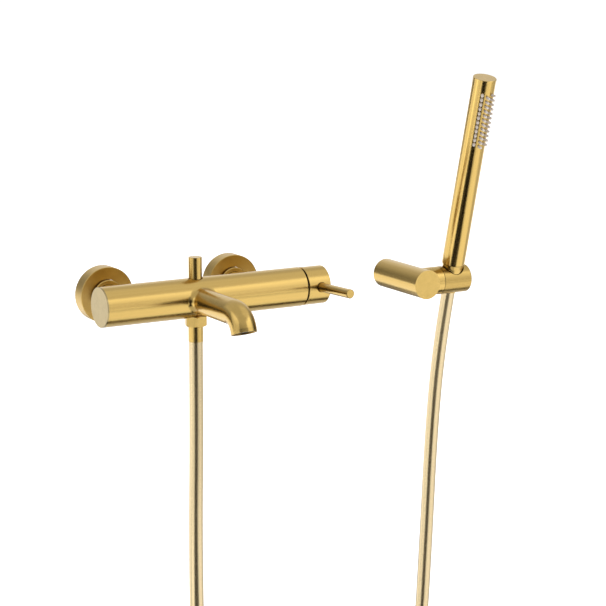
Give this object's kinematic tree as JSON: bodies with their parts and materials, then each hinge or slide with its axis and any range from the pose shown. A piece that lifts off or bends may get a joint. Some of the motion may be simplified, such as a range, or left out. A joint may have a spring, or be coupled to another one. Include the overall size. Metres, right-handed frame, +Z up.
{
  "type": "bath shower mixer",
  "caption": "Wall mixer with a round bar body, curved spout, side lever and pull-up diverter, feeding a hose and stick handset in a swivelling wall holder.",
  "frame": {"origin": "on the wall plane, midway between the two inlets at the height of the body's axis", "axes": "+X to the right along the body, +Y into the wall, +Z up; the user stands on the side of -Y"},
  "size_m": [0.4499, 0.2099, 0.9141],
  "materials": {
    "brushed_gold": "brushed brass-coloured PVD coating",
    "hose_metal": "smooth brass-coloured hose cover",
    "plain_brass": "machined, uncoated",
    "black_rubber": "moulded rubber",
    "silicone": "pale grey silicone",
    "white_plastic": "moulded acetal",
    "dark_plastic": "moulded plastic",
    "ceramic_disc": "lapped ceramic",
    "plain_steel": "stainless steel"
  },
  "bodies": {
    "fixed_parts": {"aerator_housing": "brushed_gold", "aerator_insert": "dark_plastic", "aerator_seal": "black_rubber", "bracket_base": "plain_brass", "bracket_grub_screw": "plain_steel", "bracket_post": "brushed_gold", "cartridge_base": "white_plastic", "cartridge_housing": "white_plastic", "cartridge_nut": "plain_brass", "cartridge_port_seals": "black_rubber", "diverter_bonnet": "plain_brass", "diverter_sleeve": "white_plastic", "diverter_spring": "plain_steel", "eccentric_union_left": "plain_brass", "eccentric_union_right": "plain_brass", "end_plug": "brushed_gold", "end_plug_ring": "black_rubber", "fixed_ceramic_disc": "ceramic_disc", "friction_ring": "dark_plastic", "hose_ferrule": "brushed_gold", "hose_nut": "brushed_gold", "hose_washer": "black_rubber", "inlet_neck_left": "brushed_gold", "inlet_neck_right": "brushed_gold", "inlet_washer_left": "black_rubber", "inlet_washer_right": "black_rubber", "mixer_body": "brushed_gold", "outlet_nipple": "plain_brass", "rosette_left": "brushed_gold", "rosette_right": "brushed_gold", "shower_hose": "hose_metal", "spring_washer": "plain_steel", "union_nut_left": "brushed_gold", "union_nut_right": "brushed_gold"},
    "handle_turn_body": {"cartridge_rotor": "white_plastic", "stem_pin": "plain_steel"},
    "handle": {"cartridge_stem": "plain_steel", "handle_cap": "brushed_gold", "lever_rod": "brushed_gold", "handle_grub_screw": "plain_steel"},
    "disc_slide_body": {"disc_carrier": "white_plastic", "moving_ceramic_disc": "ceramic_disc"},
    "diverter": {"diverter_knob": "brushed_gold", "diverter_stem": "plain_steel", "diverter_valve": "black_rubber"},
    "holder": {"swivel_holder": "brushed_gold", "swivel_bolt": "plain_steel", "hose_top_ferrule": "brushed_gold", "hose_top_washer": "black_rubber"},
    "handset": {"hose_cone_nut": "brushed_gold", "handset_tube": "brushed_gold", "handset_top_cap": "brushed_gold", "nozzle_insert": "silicone", "handset_water_tube": "white_plastic", "handset_connector": "plain_brass", "flow_limiter": "dark_plastic"}
  },
  "joints": [
    {"name": "handle_turn", "type": "hinge", "parent": "fixed_parts", "child": "handle_turn_body", "pos_m": [0.114, -0.072, 0], "axis": [1, 0, 0], "range_deg": [-45, 45]},
    {"name": "handle_tilt", "type": "hinge", "parent": "handle_turn_body", "child": "handle", "pos_m": [0.114, -0.072, 0], "axis": [0, 0, 1], "range_deg": [0, 18]},
    {"name": "disc_slide", "type": "slide", "parent": "handle_turn_body", "child": "disc_slide_body", "axis": [0, -1, 0], "range_m": [0, 0.003]},
    {"name": "diverter_lift", "type": "slide", "parent": "fixed_parts", "child": "diverter", "axis": [0, 0, 1], "range_m": [0, 0.0075], "stiffness_N_per_m": 60, "springref_m": -0.004, "deforming": ["diverter_spring"]},
    {"name": "holder_swivel", "type": "hinge", "parent": "fixed_parts", "child": "holder", "pos_m": [0.304, -0.0696, -0.0104], "axis": [1, 0, 0], "range_deg": [-30, 30], "deforming": ["shower_hose"]},
    {"name": "handset_turn", "type": "hinge", "parent": "holder", "child": "handset", "pos_m": [0.3209, -0.0696, -0.0104], "axis": [0, -0.2588, 0.9659], "range_deg": [-120, 120]}
  ],
  "couplings": [
    {"joint": "disc_slide", "follows": "handle_tilt", "m_per_rad": 0.0091}
  ]
}
